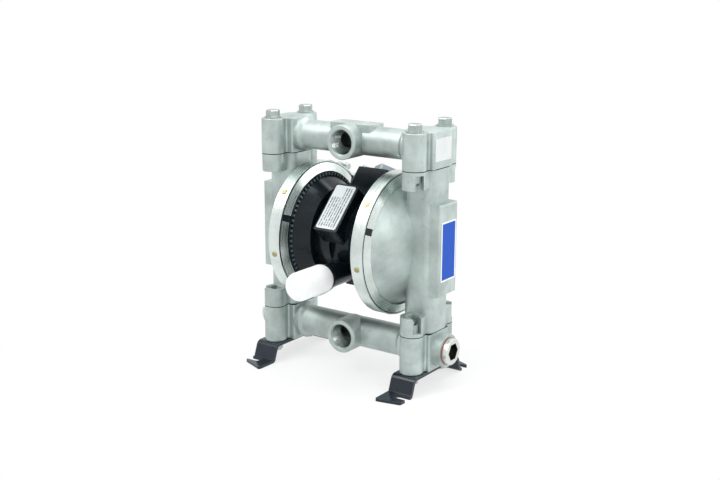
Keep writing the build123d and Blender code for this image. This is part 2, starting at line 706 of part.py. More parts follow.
# ============================================================ centre housing
inlet_face = radial_plane(0, inlet_angle, inlet_block_rise)
valve_screw_places = [
    (x, end * valve_screw_spacing_z / 2)
    for x in (-valve_screw_spacing_x, 0, valve_screw_spacing_x)
    for end in (-1, 1)
]
with BuildPart() as centre_housing:
    with BuildSketch(across_shaft(-hub_half_length)):
        Circle(hub_radius)
    extrude(amount=2 * hub_half_length)
    with BuildSketch(radial_plane(0, inlet_angle, 0)):
        RectangleRounded(2 * inlet_block_half_x, 2 * inlet_block_half_width, inlet_block_corner)
    extrude(amount=inlet_block_rise)
    with BuildSketch(radial_plane(0, plate_angle, 0)):
        RectangleRounded(plaque_width, plaque_length, 2)
    extrude(amount=plaque_rise)
    with BuildSketch(facing_back(0, 0, valve_z)):
        RectangleRounded(valve_block_width, valve_block_height, valve_cover_corner)
    extrude(amount=valve_block_y)
    with BuildSketch(facing_front(0, 0, exhaust_z)):
        Circle(exhaust_boss_radius)
    extrude(amount=-exhaust_boss_y)
    with BuildSketch(Plane.XY.offset(shaft_z - base_lug_drop)):
        RectangleRounded(base_lug_length, base_lug_width, 3)
    extrude(amount=base_lug_drop)
    # upright groove in the front of the hub, between the plaque and the exhaust boss
    with BuildSketch(facing_front(hub_groove_x, -hub_radius, shaft_z)):
        Rectangle(hub_groove_width, hub_groove_height, align=(Align.CENTER, Align.MAX))
    extrude(amount=-hub_groove_depth, mode=Mode.SUBTRACT)
    # shaft bore, stepped for the bushings and seals
    with BuildSketch(across_shaft(-hub_half_length)):
        Circle(shaft_radius + 1)
    extrude(amount=2 * hub_half_length, mode=Mode.SUBTRACT)
    for side in (-1, 1):
        with BuildSketch(across_shaft(side * hub_half_length)):
            Circle(bushing_radius + press_gap)
        extrude(amount=-side * (bushing_length + shaft_seal_length), mode=Mode.SUBTRACT)
        with BuildSketch(across_shaft(side * hub_half_length)):
            with Locations(*cover_screw_places):
                Circle(cover_screw_radius + press_gap)
        extrude(amount=-side * (cover_screw_depth + 1), mode=Mode.SUBTRACT)
        with BuildSketch(across_shaft(side * hub_half_length)):
            with Locations((0, pilot_rise)):
                Circle(pilot_bushing_radius + press_gap)
        extrude(amount=-side * pilot_bushing_back, mode=Mode.SUBTRACT)
        with BuildSketch(across_shaft(side * hub_half_length)):
            with Locations((0, pilot_rise)):
                Circle(pilot_collar_radius + free_gap)
        extrude(amount=-side * (hub_half_length - pilot_inner_x + pilot_travel + 1), mode=Mode.SUBTRACT)
    # air valve pocket with its screw holes
    with BuildSketch(facing_back(0, valve_pocket_floor_y, valve_z)):
        RectangleRounded(valve_pocket_width, valve_pocket_height, 3)
    extrude(amount=valve_block_y - valve_pocket_floor_y, mode=Mode.SUBTRACT)
    with BuildSketch(facing_back(0, valve_block_y, valve_z)):
        with Locations(*valve_screw_places):
            Circle(valve_screw_radius + press_gap)
    extrude(amount=-valve_screw_depth, mode=Mode.SUBTRACT)
    # exhaust bore for the muffler
    with BuildSketch(facing_front(0, exhaust_boss_y, exhaust_z)):
        Circle(exhaust_bore_radius + press_gap)
    extrude(amount=-(exhaust_thread_length + exhaust_relief), mode=Mode.SUBTRACT)
    # air inlet: threaded stub hole, then a drilled passage down to the valve pocket
    with BuildSketch(inlet_face):
        Circle(inlet_stub_radius + press_gap)
    extrude(amount=-(inlet_stub_length + 1), mode=Mode.SUBTRACT)
    passage_y = valve_pocket_floor_y + air_passage_radius + 3
    with BuildSketch(inlet_face):
        Circle(air_passage_radius)
    extrude(amount=-(inlet_block_rise - passage_y * sqrt(2)), mode=Mode.SUBTRACT)
    with BuildSketch(Plane.XY.offset(valve_z)):
        with Locations((0, passage_y)):
            Circle(air_passage_radius)
    extrude(amount=valve_drop + passage_y, mode=Mode.SUBTRACT)
    # ground screw hole
    with BuildSketch(inlet_face):
        with Locations((ground_screw_x, -ground_screw_side)):
            Circle(ground_screw_radius + press_gap)
    extrude(amount=-(ground_screw_length + 1), mode=Mode.SUBTRACT)
centre_housing.part.label = "centre_housing"
export_step(centre_housing.part, "parts/centre_housing.step")

with BuildPart() as name_plate:
    with BuildSketch(radial_plane(0, plate_angle, plaque_rise)):
        RectangleRounded(name_plate_width, name_plate_length, 2)
    extrude(amount=name_plate_thickness)
name_plate.part.label = "name_plate"
export_step(name_plate.part, "parts/name_plate.step")

with BuildPart() as air_inlet_fitting:
    with BuildSketch(inlet_face):
        RegularPolygon(inlet_hex_flats / 2, 6, major_radius=False, rotation=30)
    extrude(amount=inlet_fitting_height)
    chamfer(air_inlet_fitting.faces().sort_by(Axis.Z)[-1].edges(), 1)
    with BuildSketch(inlet_face):
        Circle(inlet_stub_radius)
    extrude(amount=-inlet_stub_length)
    with BuildSketch(inlet_face.offset(inlet_fitting_height)):
        Circle(air_bore_radius)
    extrude(amount=-air_bore_depth, mode=Mode.SUBTRACT)
    with BuildSketch(inlet_face):
        Circle(air_passage_radius)
    extrude(amount=-inlet_stub_length, mode=Mode.SUBTRACT)
air_inlet_fitting.part.label = "air_inlet_fitting"
export_step(air_inlet_fitting.part, "parts/air_inlet_fitting.step")

with BuildPart() as ground_screw:
    with BuildSketch(inlet_face):
        with Locations((ground_screw_x, -ground_screw_side)):
            Circle(ground_screw_head_radius)
    extrude(amount=ground_screw_head_height)
    fillet(ground_screw.edges().sort_by_distance(inlet_face.origin + inlet_face.z_dir * 500)[0], 1.5)
    with BuildSketch(inlet_face):
        with Locations((ground_screw_x, -ground_screw_side)):
            Circle(ground_screw_radius)
    extrude(amount=-ground_screw_length)
ground_screw.part.label = "ground_screw"
export_step(ground_screw.part, "parts/ground_screw.step")

with BuildPart() as muffler:
    back_y = exhaust_boss_y - muffler_neck_length
    with BuildSketch(Plane(origin=(0, 0, exhaust_z), x_dir=(0, -1, 0), z_dir=(-1, 0, 0))):
        with BuildLine():
            Polyline(
                (-back_y, 0),
                (-muffler_front_y, 0),
                (-muffler_front_y, muffler_radius),
                (-back_y, muffler_radius),
                close=True,
            )
        make_face()
    revolve(axis=Axis((0, 0, exhaust_z), (0, -1, 0)))
    rims = muffler.edges().filter_by(GeomType.CIRCLE).sort_by(Axis.Y)
    fillet(rims[0], muffler_front_round)
    fillet(muffler.edges().filter_by(GeomType.CIRCLE).sort_by(Axis.Y)[-1], muffler_back_round)
    with BuildSketch(facing_front(0, exhaust_boss_y, exhaust_z)):
        Circle(muffler_neck_radius)
    extrude(amount=muffler_neck_length + muffler_back_round)
    with BuildSketch(facing_front(0, exhaust_boss_y + exhaust_thread_length, exhaust_z)):
        Circle(exhaust_bore_radius)
    extrude(amount=exhaust_thread_length)
muffler.part.label = "muffler"
export_step(muffler.part, "parts/muffler.step")

# ============================================================ air valve
with BuildPart() as valve_plate:
    with BuildSketch(facing_back(0, valve_pocket_floor_y, valve_z)):
        Rectangle(valve_pocket_width - 2 * valve_plate_margin, valve_pocket_height - 2 * valve_plate_margin)
        with GridLocations(valve_port_spacing, 0, 3, 1):
            Rectangle(valve_port_width, valve_port_height, mode=Mode.SUBTRACT)
    extrude(amount=valve_plate_thickness)
valve_plate.part.label = "valve_plate"
export_step(valve_plate.part, "parts/valve_plate.step")

with BuildPart() as valve_carriage:
    with BuildSketch(facing_back(0, valve_pocket_floor_y + valve_plate_thickness + free_gap, valve_z)):
        RectangleRounded(carriage_length, carriage_height, 1.5)
    extrude(amount=carriage_depth)
    with BuildSketch(facing_back(0, valve_pocket_floor_y + valve_plate_thickness + free_gap, valve_z)):
        RectangleRounded(carriage_cup_length, carriage_cup_height, 1.5)
    extrude(amount=carriage_cup_depth, mode=Mode.SUBTRACT)
valve_carriage.part.label = "valve_carriage"
export_step(valve_carriage.part, "parts/valve_carriage.step")

with BuildPart() as valve_gasket:
    with BuildSketch(facing_back(0, valve_block_y, valve_z)):
        RectangleRounded(valve_block_width, valve_block_height, valve_cover_corner)
        RectangleRounded(valve_pocket_width, valve_pocket_height, 3, mode=Mode.SUBTRACT)
        with Locations(*valve_screw_places):
            Circle(valve_screw_radius + press_gap, mode=Mode.SUBTRACT)
    extrude(amount=valve_gasket_thickness)
valve_gasket.part.label = "valve_gasket"
export_step(valve_gasket.part, "parts/valve_gasket.step")

valve_cover_plane = facing_back(0, valve_block_y + valve_gasket_thickness, valve_z)
with BuildPart() as valve_cover:
    with BuildSketch(valve_cover_plane):
        RectangleRounded(valve_block_width, valve_block_height, valve_cover_corner)
    extrude(amount=valve_cover_thickness)
    fillet(valve_cover.faces().sort_by(Axis.Y)[-1].edges(), 1.5)
    with BuildSketch(valve_cover_plane):
        with Locations(*valve_screw_places):
            Circle(valve_screw_radius + press_gap)
    extrude(amount=valve_cover_thickness, mode=Mode.SUBTRACT)
valve_cover.part.label = "valve_cover"
export_step(valve_cover.part, "parts/valve_cover.step")

with BuildPart() as valve_cover_screws:
    screw_run = valve_screw_depth + valve_gasket_thickness + valve_cover_thickness
    with BuildSketch(valve_cover_plane.offset(valve_cover_thickness)):
        with Locations(*valve_screw_places):
            Circle(valve_screw_head_radius)
    extrude(amount=valve_screw_head_height)
    with BuildSketch(valve_cover_plane.offset(valve_cover_thickness)):
        with Locations(*valve_screw_places):
            Circle(valve_screw_radius)
    extrude(amount=-screw_run)
valve_cover_screws.part.label = "valve_cover_screws"
export_step(valve_cover_screws.part, "parts/valve_cover_screws.step")

# ============================================================ diaphragm rod
tapped_depth = shaft_bolt_length - air_plate_thickness - diaphragm_thickness
with BuildPart() as diaphragm_shaft:
    with BuildSketch(across_shaft(-shaft_end_x)):
        Circle(shaft_radius)
    extrude(amount=2 * shaft_end_x)
    for side in (-1, 1):
        with BuildSketch(across_shaft(side * shaft_end_x)):
            Circle(shaft_bolt_radius + press_gap)
        extrude(amount=-side * tapped_depth, mode=Mode.SUBTRACT)
diaphragm_shaft.part.label = "diaphragm_shaft"
export_step(diaphragm_shaft.part, "parts/diaphragm_shaft.step")

with BuildPart() as right_air_plate:
    with BuildSketch(across_shaft(shaft_end_x)):
        Circle(plate_radius)
        Circle(shaft_bolt_radius + press_gap, mode=Mode.SUBTRACT)
    extrude(amount=air_plate_thickness)
right_air_plate.part.label = "right_air_plate"
export_step(right_air_plate.part, "parts/right_air_plate.step")

with BuildPart() as right_fluid_plate:
    with BuildSketch(across_shaft(fluid_face_x)):
        Circle(plate_radius)
    extrude(amount=fluid_plate_thickness)
    fillet(right_fluid_plate.faces().sort_by(Axis.X)[-1].edges(), fluid_plate_round)
    with BuildSketch(across_shaft(fluid_face_x)):
        Circle(shaft_bolt_radius + press_gap)
    extrude(amount=fluid_plate_thickness, mode=Mode.SUBTRACT)
right_fluid_plate.part.label = "right_fluid_plate"
export_step(right_fluid_plate.part, "parts/right_fluid_plate.step")

with BuildPart() as right_shaft_bolt:
    with BuildSketch(across_shaft(fluid_face_x + fluid_plate_thickness)):
        RegularPolygon(shaft_bolt_flats / 2, 6, major_radius=False)
    extrude(amount=shaft_bolt_head)
    with BuildSketch(across_shaft(fluid_face_x + fluid_plate_thickness)):
        Circle(shaft_bolt_radius)
    extrude(amount=-(fluid_plate_thickness + shaft_bolt_length - 1))
right_shaft_bolt.part.label = "right_shaft_bolt"
export_step(right_shaft_bolt.part, "parts/right_shaft_bolt.step")

with BuildPart() as right_diaphragm:
    bulge_radius = (plate_radius + chamber_radius) / 2
    bulge_x = clamp_x - convolution_depth
    half = diaphragm_thickness / 2
    with BuildSketch(shaft_section):
        with BuildLine():
            Line((clamp_x - half, shaft_bolt_radius + press_gap), (clamp_x - half, plate_radius))
            ThreePointArc(
                (clamp_x - half, plate_radius),
                (bulge_x - half, bulge_radius),
                (clamp_x - half, chamber_radius),
            )
            Polyline(
                (clamp_x - half, chamber_radius),
                (clamp_x - half, flange_radius - 2),
                (clamp_x + half, flange_radius - 2),
                (clamp_x + half, chamber_radius),
            )
            ThreePointArc(
                (clamp_x + half, chamber_radius),
                (bulge_x + half, bulge_radius),
                (clamp_x + half, plate_radius),
            )
            Polyline(
                (clamp_x + half, plate_radius),
                (clamp_x + half, shaft_bolt_radius + press_gap),
                (clamp_x - half, shaft_bolt_radius + press_gap),
            )
        make_face()
    revolve(axis=shaft_axis)
right_diaphragm.part.label = "right_diaphragm"
export_step(right_diaphragm.part, "parts/right_diaphragm.step")

with BuildPart() as shaft_bushings:
    with BuildSketch(across_shaft(hub_half_length - bushing_length)):
        Circle(bushing_radius)
        Circle(shaft_radius + running_gap, mode=Mode.SUBTRACT)
    extrude(amount=bushing_length)
    mirror(about=Plane.YZ)
shaft_bushings.part.label = "shaft_bushings"
export_step(shaft_bushings.part, "parts/shaft_bushings.step")

with BuildPart() as shaft_seals:
    with BuildSketch(across_shaft(hub_half_length - bushing_length - shaft_seal_length)):
        Circle(bushing_radius)
        Circle(shaft_radius + free_gap, mode=Mode.SUBTRACT)
    extrude(amount=shaft_seal_length)
    mirror(about=Plane.YZ)
shaft_seals.part.label = "shaft_seals"
export_step(shaft_seals.part, "parts/shaft_seals.step")

with BuildPart() as right_pilot_pin:
    with BuildSketch(facing_end(pilot_inner_x, 0, pilot_z)):
        Circle(pilot_radius)
    extrude(amount=pilot_tip_x - pilot_inner_x)
    with BuildSketch(facing_end(pilot_inner_x, 0, pilot_z)):
        Circle(pilot_collar_radius)
    extrude(amount=pilot_collar_length)
right_pilot_pin.part.label = "right_pilot_pin"
export_step(right_pilot_pin.part, "parts/right_pilot_pin.step")

with BuildPart() as pilot_bushings:
    with BuildSketch(facing_end(hub_half_length - pilot_bushing_back, 0, pilot_z)):
        Circle(pilot_bushing_radius)
        Circle(pilot_radius + running_gap, mode=Mode.SUBTRACT)
    extrude(amount=pilot_bushing_back + cover_wall)
    mirror(about=Plane.YZ)
pilot_bushings.part.label = "pilot_bushings"
export_step(pilot_bushings.part, "parts/pilot_bushings.step")

# ============================================================ left-hand copies
right_pieces = {
    "fluid_cover": right_fluid_cover,
    "clamp_segments": right_clamp_segments,
    "clamp_band": right_clamp_band,
    "clamp_bolt": right_clamp_bolt,
    "air_cover": right_air_cover,
    "cover_screws": right_cover_screws,
    "air_plate": right_air_plate,
    "fluid_plate": right_fluid_plate,
    "shaft_bolt": right_shaft_bolt,
    "diaphragm": right_diaphragm,
    "pilot_pin": right_pilot_pin,
}
for name, right_piece in right_pieces.items():
    with BuildPart() as left_piece:
        mirror(right_piece.part, about=Plane.YZ)
    left_piece.part.label = f"left_{name}"
    export_step(left_piece.part, f"parts/left_{name}.step")

# ============================================================ check valves
for level, seam_z in (("inlet", lower_seam_z), ("outlet", upper_seam_z)):
    with BuildPart() as seats:
        for side in (-1, 1):
            with BuildSketch(Plane.XY.offset(seam_z - seat_height)):
                with Locations((side * column_x, 0)):
                    Circle(seat_radius)
                    Circle(seat_bore_radius, mode=Mode.SUBTRACT)
            extrude(amount=seat_height)
            with Locations((side * column_x, 0, seam_z - seat_cone_height)):
                Cone(
                    seat_bore_radius,
                    seat_mouth_radius,
                    seat_cone_height,
                    align=on_floor,
                    mode=Mode.SUBTRACT,
                )
            with BuildSketch(Plane.XY.offset(seam_z - seat_height / 2 - o_ring_thickness / 2)):
                with Locations((side * column_x, 0)):
                    Circle(seat_radius + 1)
                    Circle(seat_radius - o_ring_thickness, mode=Mode.SUBTRACT)
            extrude(amount=o_ring_thickness, mode=Mode.SUBTRACT)
    seats.part.label = f"{level}_seats"
    export_step(seats.part, f"parts/{level}_seats.step")
    for name, side in (("left", -1), ("right", 1)):
        with BuildPart() as ball:
            with Locations((side * column_x, 0, seam_z + ball_rest)):
                Sphere(ball_radius)
        ball.part.label = f"{name}_{level}_ball"
        export_step(ball.part, f"parts/{name}_{level}_ball.step")

with BuildPart() as seat_o_rings:
    for seam_z in (lower_seam_z, upper_seam_z):
        with Locations((-column_x, 0, seam_z - seat_height / 2), (column_x, 0, seam_z - seat_height / 2)):
            Torus(seat_radius - o_ring_thickness / 2, o_ring_thickness / 2 - press_gap / 2)
seat_o_rings.part.label = "seat_o_rings"
export_step(seat_o_rings.part, "parts/seat_o_rings.step")

# ============================================================ end plugs
with BuildPart() as end_plugs:
    for side in (-1, 1):
        with BuildSketch(facing_end(side * plug_head_x, 0, 0)):
            Circle(plug_head_radius)
        extrude(amount=side * plug_head_thickness)
        with BuildSketch(facing_end(side * (end_boss_face_x - plug_thread_length), 0, 0)):
            Circle(plug_thread_radius)
        extrude(amount=side * (plug_thread_length + plug_seal_thickness))
    rims = end_plugs.faces().sort_by(Axis.X)
    chamfer(rims[0].edges() + rims[-1].edges(), 0.8)
    for side in (-1, 1):
        with BuildSketch(facing_end(side * (plug_head_x + plug_head_thickness), 0, 0)):
            RegularPolygon(plug_socket_flats / 2, 6, major_radius=False)
        extrude(amount=-side * plug_socket_depth, mode=Mode.SUBTRACT)
end_plugs.part.label = "end_plugs"
export_step(end_plugs.part, "parts/end_plugs.step")

with BuildPart() as plug_seals:
    for side in (-1, 1):
        with BuildSketch(facing_end(side * end_boss_face_x, 0, 0)):
            Circle(plug_seal_radius)
            Circle(plug_thread_radius + press_gap, mode=Mode.SUBTRACT)
        extrude(amount=side * plug_seal_thickness)
plug_seals.part.label = "plug_seals"
export_step(plug_seals.part, "parts/plug_seals.step")

# ============================================================ bolts and nuts
bottom_head_z = strap_top_z - strap_thickness
lower_nut_z = lower_seam_z + nut_ledge
upper_nut_z = upper_seam_z - nut_ledge - nut_height


def hex_bolts(seat_z, up, end_z):
    """Four flanged hex bolts whose heads sit on seat_z and point up (1) or down (-1)."""
    with BuildPart() as bolts:
        for x, y in all_bolts:
            with BuildSketch(Plane.XY.offset(seat_z)):
                with Locations((x, y)):
                    Circle(bolt_flange_radius)
            extrude(amount=up * bolt_flange_thickness)
            with BuildSketch(Plane.XY.offset(seat_z)):
                with Locations((x, y)):
                    RegularPolygon(bolt_head_flats / 2, 6, major_radius=False, rotation=7 * x / bolt_x)
            extrude(amount=up * bolt_head_height)
        crowns = bolts.faces().filter_by(Axis.Z).sort_by(Axis.Z)
        crowns = crowns[-4:] if up > 0 else crowns[:4]
        chamfer(crowns.edges(), bolt_head_chamfer)
        for x, y in all_bolts:
            with BuildSketch(Plane.XY.offset(seat_z)):
                with Locations((x, y)):
                    Circle(bolt_radius)
            extrude(amount=end_z - seat_z)
    return bolts.part


top_bolts = hex_bolts(block_top_z, 1, upper_nut_z - bolt_end_past_nut)
top_bolts.label = "top_bolts"
export_step(top_bolts, "parts/top_bolts.step")

bottom_bolts = hex_bolts(bottom_head_z, -1, lower_nut_z + nut_height + bolt_end_past_nut)
bottom_bolts.label = "bottom_bolts"
export_step(bottom_bolts, "parts/bottom_bolts.step")

with BuildPart() as lug_nuts:
    for nut_z in (lower_nut_z, upper_nut_z):
        with BuildSketch(Plane.XY.offset(nut_z)):
            with Locations(*all_bolts):
                RegularPolygon(nut_flats / 2, 6, major_radius=False)
                Circle(bolt_radius + press_gap, mode=Mode.SUBTRACT)
        extrude(amount=nut_height)
lug_nuts.part.label = "lug_nuts"
export_step(lug_nuts.part, "parts/lug_nuts.step")

# ============================================================ foot straps
with BuildPart() as right_foot_strap:
    with BuildSketch(Plane.YZ.offset(strap_inner_x)):
        with BuildLine():
            FilletPolyline(
                (-strap_reach, floor_z),
                (-strap_bend_foot_y, floor_z),
                (-strap_bend_top_y, strap_top_z - strap_thickness),
                (strap_bend_top_y, strap_top_z - strap_thickness),
                (strap_bend_foot_y, floor_z),
                (strap_reach, floor_z),
                radius=strap_bend_radius,
            )
            offset(amount=strap_thickness, side=Side.LEFT)
        make_face()
    extrude(amount=strap_width)
    outer_x = strap_inner_x + strap_width
    for end, rake in ((-1, strap_front_rake), (1, strap_rear_rake)):
        with BuildSketch(Plane.XY.offset(floor_z)):
            with BuildLine():
                Polyline(
                    (strap_inner_x, end * strap_reach),
                    (outer_x, end * (strap_reach - strap_width * tan(radians(rake)))),
                    (outer_x, end * (strap_reach + 1)),
                    (strap_inner_x, end * (strap_reach + 1)),
                    close=True,
                )
            make_face()
        extrude(amount=strap_thickness, mode=Mode.SUBTRACT)
        slot_end_x = outer_x - strap_slot_depth + strap_slot_width / 2
        with BuildSketch(Plane.XY.offset(floor_z)):
            with Locations((slot_end_x, end * strap_slot_y)):
                Circle(strap_slot_width / 2)
                Rectangle(strap_width, strap_slot_width, align=(Align.MIN, Align.CENTER))
        extrude(amount=strap_thickness, mode=Mode.SUBTRACT)
    corners = right_foot_strap.edges().filter_by(Axis.Z).sort_by(Axis.Y)
    with Locations((bolt_x, -bolt_y, strap_top_z), (bolt_x, bolt_y, strap_top_z)):
        Hole(bolt_hole_radius, depth=strap_thickness)
    fillet(corners[0:2] + corners[-2:], strap_toe_round)
right_foot_strap.part.label = "right_foot_strap"
export_step(right_foot_strap.part, "parts/right_foot_strap.step")

with BuildPart() as left_foot_strap:
    add(right_foot_strap.part, rotation=(0, 0, 180))
left_foot_strap.part.label = "left_foot_strap"
export_step(left_foot_strap.part, "parts/left_foot_strap.step")

# ============================================================ plain plates
with BuildPart() as side_plate:
    with BuildSketch(facing_end(pad_face_x, 0, shaft_z)):
        RectangleRounded(side_plate_width, side_plate_height, side_plate_corner)
    extrude(amount=side_plate_thickness)
side_plate.part.label = "side_plate"
export_step(side_plate.part, "parts/side_plate.step")

with BuildPart() as end_plate:
    with BuildSketch(facing_end(block_end_x, 0, outlet_z)):
        RectangleRounded(end_plate_width, end_plate_height, 1)
    extrude(amount=end_plate_thickness)
end_plate.part.label = "end_plate"
export_step(end_plate.part, "parts/end_plate.step")
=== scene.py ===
"""Looks of an air operated double diaphragm pump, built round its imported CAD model.

Lengths are metres in the row frame: the origin is where the inlet port's axis crosses the inlet
manifold's run, X is along the diaphragm shaft, the ports face -Y and Z is up.
"""

import json
import math

import bmesh
import bpy
from mathutils import Matrix, Vector


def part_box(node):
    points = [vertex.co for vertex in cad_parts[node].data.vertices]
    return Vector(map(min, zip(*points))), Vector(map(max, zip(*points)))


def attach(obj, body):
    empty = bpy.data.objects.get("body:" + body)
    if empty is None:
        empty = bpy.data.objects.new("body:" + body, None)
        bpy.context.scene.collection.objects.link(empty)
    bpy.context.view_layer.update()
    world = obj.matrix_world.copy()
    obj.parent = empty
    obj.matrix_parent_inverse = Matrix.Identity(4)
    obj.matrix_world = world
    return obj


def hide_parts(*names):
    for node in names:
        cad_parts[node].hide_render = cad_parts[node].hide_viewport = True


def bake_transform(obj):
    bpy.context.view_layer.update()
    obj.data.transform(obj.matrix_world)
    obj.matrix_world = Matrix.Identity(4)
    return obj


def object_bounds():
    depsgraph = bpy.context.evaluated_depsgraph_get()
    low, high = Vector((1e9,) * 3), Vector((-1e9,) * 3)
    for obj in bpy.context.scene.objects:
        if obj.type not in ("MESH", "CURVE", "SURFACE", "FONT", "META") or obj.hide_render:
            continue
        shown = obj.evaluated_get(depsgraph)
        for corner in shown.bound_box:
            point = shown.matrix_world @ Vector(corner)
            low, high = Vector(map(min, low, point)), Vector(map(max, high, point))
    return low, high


MM = 0.001

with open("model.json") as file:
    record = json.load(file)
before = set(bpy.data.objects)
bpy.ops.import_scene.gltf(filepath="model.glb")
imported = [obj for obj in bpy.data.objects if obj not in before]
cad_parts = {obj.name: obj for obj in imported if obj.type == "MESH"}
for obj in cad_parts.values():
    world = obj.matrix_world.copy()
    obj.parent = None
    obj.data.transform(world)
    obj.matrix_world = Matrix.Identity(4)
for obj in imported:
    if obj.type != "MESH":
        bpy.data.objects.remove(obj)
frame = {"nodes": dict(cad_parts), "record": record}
cad_low, cad_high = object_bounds()
nodes = frame["nodes"]

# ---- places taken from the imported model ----
floor_z = cad_low.z
shaft_z = sum(corner.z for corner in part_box("diaphragm_shaft")) / 2
lower_seam_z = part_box("inlet_manifold")[1].z
upper_seam_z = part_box("outlet_manifold")[0].z
plug_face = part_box("end_plugs")[1].x
tooth_face = 38.6 * MM  # the teeth's faces, from the middle of the pump
tooth_root = 58.4 * MM  # the radius that the teeth start from
band_radius = (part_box("right_clamp_segments")[1].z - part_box("right_clamp_segments")[0].z) / 2
mounts = {mount["name"]: mount for mount in frame["record"]["mounts"]}
port_radius = mounts["inlet_port"]["dims"]["r_mm"] * MM


# ============================================================ finishes
class Value:
    """A number or colour on its way through a finish; Python's operators add Math nodes."""

    def __init__(self, finish, socket):
        self.finish = finish
        self.socket = socket

    def math(self, operation, *others):
        inputs = dict(enumerate((self, *others)))
        return self.finish.add("ShaderNodeMath", {"operation": operation}, inputs)

    def __add__(self, other):
        return self.math("ADD", other)

    def __sub__(self, other):
        return self.math("SUBTRACT", other)

    def __mul__(self, other):
        return self.math("MULTIPLY", other)

    def __rsub__(self, other):
        return self.finish.add("ShaderNodeMath", {"operation": "SUBTRACT"}, {0: other, 1: self})

    def __lt__(self, other):
        return self.math("LESS_THAN", other)

    def __gt__(self, other):
        return self.math("GREATER_THAN", other)

    def __abs__(self):
        return self.math("ABSOLUTE")

    __radd__ = __add__
    __rmul__ = __mul__


class Finish:
    """One material: a Principled shader and whatever nodes feed it."""

    output_node = "Material Output"

    def __init__(self, name):
        self.material = bpy.data.materials.new(name)
        self.material.use_nodes = True
        self.tree = self.material.node_tree
        self.shader = self.tree.nodes["Principled BSDF"]

    def add(self, kind, settings=None, inputs=None, output=0):
        """Adds a node, sets it up, feeds it and returns one of its outputs."""
        node = self.tree.nodes.new(kind)
        for name, value in (settings or {}).items():
            if name == "stops":
                self.set_stops(node.color_ramp, value)
            else:
                setattr(node, name, value)
        for key, value in (inputs or {}).items():
            self.feed(node.inputs[key], value)
        return Value(self, node.outputs[output])

    def set_stops(self, ramp, stops):
        while len(ramp.elements) < len(stops):
            ramp.elements.new(1.0)
        for element, (position, colour) in zip(ramp.elements, stops):
            element.position = position
            element.color = (*colour, 1.0)

    def feed(self, socket, value):
        if isinstance(value, Value):
            self.tree.links.new(value.socket, socket)
        elif socket.type == "RGBA":
            socket.default_value = (*value, 1.0)
        else:
            socket.default_value = value

    def set(self, **sockets):
        """Feeds the shader; names are its sockets' in small letters, with underscores."""
        for name, value in sockets.items():
            socket = name.replace("_", " ").title().replace("Ior", "IOR")
            self.feed(self.shader.inputs[socket], value)

    def place(self):
        """Position on the piece, in metres in the row frame at rest."""
        return self.add("ShaderNodeTexCoord", output="Object")

    def axis(self, place, name):
        return self.add("ShaderNodeSeparateXYZ", inputs={0: place}, output=name)

    def from_shaft(self, place):
        """Distance from the diaphragm shaft's axis."""
        y = self.axis(place, "Y")
        z = self.axis(place, "Z") - shaft_z
        return (y * y + z * z).math("SQRT")

    def noise(self, place, size, detail=3.0, roughness=0.55):
        """Noise from 0 to 1 whose features are about size across, in metres."""
        inputs = {"Vector": place, "Scale": 1 / size, "Detail": detail, "Roughness": roughness}
        return self.add("ShaderNodeTexNoise", inputs=inputs, output="Fac")

    def grains(self, place, size):
        """Distance to the nearest of scattered points, in grain sizes."""
        inputs = {"Vector": place, "Scale": 1 / size}
        return self.add("ShaderNodeTexVoronoi", inputs=inputs, output="Distance")

    def stretched(self, place, scale):
        return self.add("ShaderNodeVectorMath", {"operation": "MULTIPLY"}, {0: place, 1: scale})

    def ramp(self, factor, *stops):
        return self.add("ShaderNodeValToRGB", {"stops": stops}, {"Fac": factor}, output="Color")

    def level(self, value, low, high, to_low=0.0, to_high=1.0):
        """Maps value from low..high to to_low..to_high, clamped."""
        inputs = {"Value": value, "From Min": low, "From Max": high}
        inputs |= {"To Min": to_low, "To Max": to_high}
        return self.add("ShaderNodeMapRange", inputs=inputs, output="Result")

    def mix(self, factor, first, second):
        """Colour that goes from first to second."""
        inputs = {0: factor, 6: first, 7: second}
        return self.add("ShaderNodeMix", {"data_type": "RGBA"}, inputs, output=2)

    def bump(self, height, depth, under=None):
        """Normal from a height of 0 to 1 that stands for depth metres."""
        inputs = {"Height": height, "Distance": depth, "Strength": 1.0}
        if under is not None:
            inputs["Normal"] = under
        return self.add("ShaderNodeBump", inputs=inputs, output="Normal")

    def rounded_edges(self, radius):
        return self.add("ShaderNodeBevel", {"samples": 4}, {"Radius": radius}, output="Normal")

    def highlight_edges(self, radius):
        """1 where a corner is within radius, 0 on open faces."""
        geometry = self.add("ShaderNodeNewGeometry", output="Normal")
        bent = self.rounded_edges(radius)
        inputs = {0: geometry, 1: bent}
        likeness = self.add("ShaderNodeVectorMath", {"operation": "DOT_PRODUCT"}, inputs, "Value")
        return self.level(likeness, 0.995, 0.9)

    def seen_directly(self):
        """1 on rays from the camera, off gloss or through glass."""
        camera_ray = self.add("ShaderNodeLightPath", output="Is Camera Ray")
        glossy_ray = self.add("ShaderNodeLightPath", output="Is Glossy Ray")
        glass_ray = self.add("ShaderNodeLightPath", output="Is Transmission Ray")
        return camera_ray.math("MAXIMUM", glossy_ray).math("MAXIMUM", glass_ray)

    def end_in(self, share, other_shader):
        """Ends in the other shader where share is 1, and in its own where share is 0."""
        own = Value(self, self.shader.outputs[0])
        mixed = self.add("ShaderNodeMixShader", inputs={0: share, 1: own, 2: other_shader})
        self.feed(self.tree.nodes[self.output_node].inputs[0], mixed)


